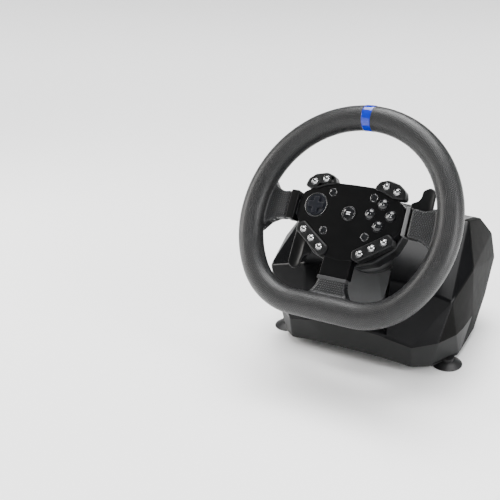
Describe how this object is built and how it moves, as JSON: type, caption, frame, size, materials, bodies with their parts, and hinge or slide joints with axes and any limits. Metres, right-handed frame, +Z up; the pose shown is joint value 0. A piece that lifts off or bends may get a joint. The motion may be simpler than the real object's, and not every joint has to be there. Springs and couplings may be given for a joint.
{
  "type": "racing wheel",
  "caption": "Desk racing wheel with a D-shaped rim, button hub and shift paddles, on a tilted column in a winged base with suction cups.",
  "frame": {"origin": "centre of the footprint on the desk surface, below the suction cups' lips", "axes": "+X to the player's right, +Y away from the player, +Z up"},
  "size_m": [0.28, 0.2944, 0.3082],
  "materials": {
    "grip": "fine dimpled texture, semi-matt",
    "marker": "glossy metallic blue",
    "spoke_texture": "dimpled",
    "gloss_black": "polished",
    "face": "satin",
    "graphite": "satin",
    "neck_grey": "satin",
    "band_grey": "satin",
    "panel_black": "semi-gloss",
    "ring_chrome": "polished",
    "button_dark": "glossy",
    "button_metal": "metallised",
    "steel": "turned",
    "frame_steel": "powder coat",
    "bronze": "sintered",
    "board": "solder mask",
    "silicone": "matt",
    "gear_plastic": "moulded",
    "sensor_blue": "moulded",
    "inner_black": "moulded",
    "cup_rubber": "matt"
  },
  "bodies": {
    "base": {"base_lower": "band_grey", "base_upper": "gloss_black", "column_cover": "neck_grey", "column_bezel": "inner_black", "side_panel_left": "panel_black", "side_panel_right": "panel_black", "rear_cover": "inner_black", "bottom_plate": "inner_black", "suction_cups": "cup_rubber", "column_housing": "inner_black", "shaft_bushes": "bronze", "centring_spring": "steel", "sensor": "sensor_blue", "main_board": "board", "rear_sockets": "steel", "rumble_motor": "steel", "base_screws": "steel"},
    "wheel": {"rim_frame": "frame_steel", "rim_grip": "grip", "top_marker": "marker", "spoke_covers": "spoke_texture", "spoke_trims": "gloss_black", "hub_face": "face", "hub_back": "graphite", "pod_top_left": "graphite", "pod_top_right": "graphite", "pod_bottom_left": "graphite", "pod_bottom_right": "graphite", "button_rings": "ring_chrome", "button_mat": "silicone", "hub_board": "board", "hub_screws": "steel", "paddle_pins": "steel", "steering_shaft": "steel", "steering_gear": "gear_plastic"},
    "home_button": {"home_button": "button_dark"},
    "action_button_top": {"action_button_top": "button_dark"},
    "action_button_left": {"action_button_left": "button_dark"},
    "action_button_right": {"action_button_right": "button_dark"},
    "action_button_bottom": {"action_button_bottom": "button_dark"},
    "flush_button_top_left": {"flush_button_top_left": "face"},
    "flush_button_top_right": {"flush_button_top_right": "face"},
    "flush_button_bottom_left": {"flush_button_bottom_left": "face"},
    "flush_button_bottom_right": {"flush_button_bottom_right": "face"},
    "pod_button_1": {"pod_button_1": "button_metal"},
    "pod_button_2": {"pod_button_2": "button_metal"},
    "pod_button_3": {"pod_button_3": "button_metal"},
    "pod_button_4": {"pod_button_4": "button_metal"},
    "pod_button_5": {"pod_button_5": "button_metal"},
    "pod_button_6": {"pod_button_6": "button_metal"},
    "pod_button_7": {"pod_button_7": "button_metal"},
    "pod_button_8": {"pod_button_8": "button_metal"},
    "pod_button_9": {"pod_button_9": "button_metal"},
    "pod_button_10": {"pod_button_10": "button_metal"},
    "dpad_carrier": {"dpad_carrier": "inner_black"},
    "dpad": {"dpad": "button_dark"},
    "paddle_right": {"paddle_right": "graphite"},
    "paddle_left": {"paddle_left": "graphite"},
    "sensor_gear": {"sensor_gear": "gear_plastic"},
    "rumble_weight": {"rumble_weight": "bronze"}
  },
  "joints": [
    {"name": "steering", "type": "hinge", "parent": "base", "child": "wheel", "pos_m": [0, -0.0748, 0.188], "axis": [0, 0.8387, -0.5446], "range_deg": [-90, 90], "stiffness_Nm_per_rad": 0.9},
    {"name": "home_button_press", "type": "slide", "parent": "wheel", "child": "home_button", "axis": [0, 0.8387, -0.5446], "range_m": [0, 0.0012], "stiffness_N_per_m": 500},
    {"name": "action_button_top_press", "type": "slide", "parent": "wheel", "child": "action_button_top", "axis": [0, 0.8387, -0.5446], "range_m": [0, 0.0012], "stiffness_N_per_m": 500},
    {"name": "action_button_left_press", "type": "slide", "parent": "wheel", "child": "action_button_left", "axis": [0, 0.8387, -0.5446], "range_m": [0, 0.0012], "stiffness_N_per_m": 500},
    {"name": "action_button_right_press", "type": "slide", "parent": "wheel", "child": "action_button_right", "axis": [0, 0.8387, -0.5446], "range_m": [0, 0.0012], "stiffness_N_per_m": 500},
    {"name": "action_button_bottom_press", "type": "slide", "parent": "wheel", "child": "action_button_bottom", "axis": [0, 0.8387, -0.5446], "range_m": [0, 0.0012], "stiffness_N_per_m": 500},
    {"name": "flush_button_top_left_press", "type": "slide", "parent": "wheel", "child": "flush_button_top_left", "axis": [0, 0.8387, -0.5446], "range_m": [0, 0.0012], "stiffness_N_per_m": 500},
    {"name": "flush_button_top_right_press", "type": "slide", "parent": "wheel", "child": "flush_button_top_right", "axis": [0, 0.8387, -0.5446], "range_m": [0, 0.0012], "stiffness_N_per_m": 500},
    {"name": "flush_button_bottom_left_press", "type": "slide", "parent": "wheel", "child": "flush_button_bottom_left", "axis": [0, 0.8387, -0.5446], "range_m": [0, 0.0012], "stiffness_N_per_m": 500},
    {"name": "flush_button_bottom_right_press", "type": "slide", "parent": "wheel", "child": "flush_button_bottom_right", "axis": [0, 0.8387, -0.5446], "range_m": [0, 0.0012], "stiffness_N_per_m": 500},
    {"name": "pod_button_1_press", "type": "slide", "parent": "wheel", "child": "pod_button_1", "axis": [0, 0.8387, -0.5446], "range_m": [0, 0.0012], "stiffness_N_per_m": 500},
    {"name": "pod_button_2_press", "type": "slide", "parent": "wheel", "child": "pod_button_2", "axis": [0, 0.8387, -0.5446], "range_m": [0, 0.0012], "stiffness_N_per_m": 500},
    {"name": "pod_button_3_press", "type": "slide", "parent": "wheel", "child": "pod_button_3", "axis": [0, 0.8387, -0.5446], "range_m": [0, 0.0012], "stiffness_N_per_m": 500},
    {"name": "pod_button_4_press", "type": "slide", "parent": "wheel", "child": "pod_button_4", "axis": [0, 0.8387, -0.5446], "range_m": [0, 0.0012], "stiffness_N_per_m": 500},
    {"name": "pod_button_5_press", "type": "slide", "parent": "wheel", "child": "pod_button_5", "axis": [0, 0.8387, -0.5446], "range_m": [0, 0.0012], "stiffness_N_per_m": 500},
    {"name": "pod_button_6_press", "type": "slide", "parent": "wheel", "child": "pod_button_6", "axis": [0, 0.8387, -0.5446], "range_m": [0, 0.0012], "stiffness_N_per_m": 500},
    {"name": "pod_button_7_press", "type": "slide", "parent": "wheel", "child": "pod_button_7", "axis": [0, 0.8387, -0.5446], "range_m": [0, 0.0012], "stiffness_N_per_m": 500},
    {"name": "pod_button_8_press", "type": "slide", "parent": "wheel", "child": "pod_button_8", "axis": [0, 0.8387, -0.5446], "range_m": [0, 0.0012], "stiffness_N_per_m": 500},
    {"name": "pod_button_9_press", "type": "slide", "parent": "wheel", "child": "pod_button_9", "axis": [0, 0.8387, -0.5446], "range_m": [0, 0.0012], "stiffness_N_per_m": 500},
    {"name": "pod_button_10_press", "type": "slide", "parent": "wheel", "child": "pod_button_10", "axis": [0, 0.8387, -0.5446], "range_m": [0, 0.0012], "stiffness_N_per_m": 500},
    {"name": "dpad_up_down", "type": "hinge", "parent": "wheel", "child": "dpad_carrier", "pos_m": [-0.045, -0.05732, 0.19215], "axis": [1, 0, 0], "range_deg": [-4, 4], "stiffness_Nm_per_rad": 0.3},
    {"name": "dpad_left_right", "type": "hinge", "parent": "dpad_carrier", "child": "dpad", "pos_m": [-0.045, -0.05732, 0.19215], "axis": [0, 0.5446, 0.8387], "range_deg": [-4, 4], "stiffness_Nm_per_rad": 0.3},
    {"name": "paddle_right_pull", "type": "hinge", "parent": "wheel", "child": "paddle_right", "pos_m": [0.052, -0.02587, 0.17888], "axis": [0, -0.5446, -0.8387], "range_deg": [0, 6], "stiffness_Nm_per_rad": 1.2},
    {"name": "paddle_left_pull", "type": "hinge", "parent": "wheel", "child": "paddle_left", "pos_m": [-0.052, -0.04657, 0.14701], "axis": [0, 0.5446, 0.8387], "range_deg": [0, 6], "stiffness_Nm_per_rad": 1.2},
    {"name": "sensor_spin", "type": "hinge", "parent": "base", "child": "sensor_gear", "pos_m": [0.04065, 0.08455, 0.08452], "axis": [0, 0.8387, -0.5446], "range_deg": [-180, 180]},
    {"name": "rumble_spin", "type": "hinge", "parent": "base", "child": "rumble_weight", "pos_m": [0.07, 0.0072, 0.058], "axis": [1, 0, 0], "continuous": true}
  ],
  "couplings": [
    {"joint": "sensor_spin", "follows": "steering", "ratio": -2}
  ]
}
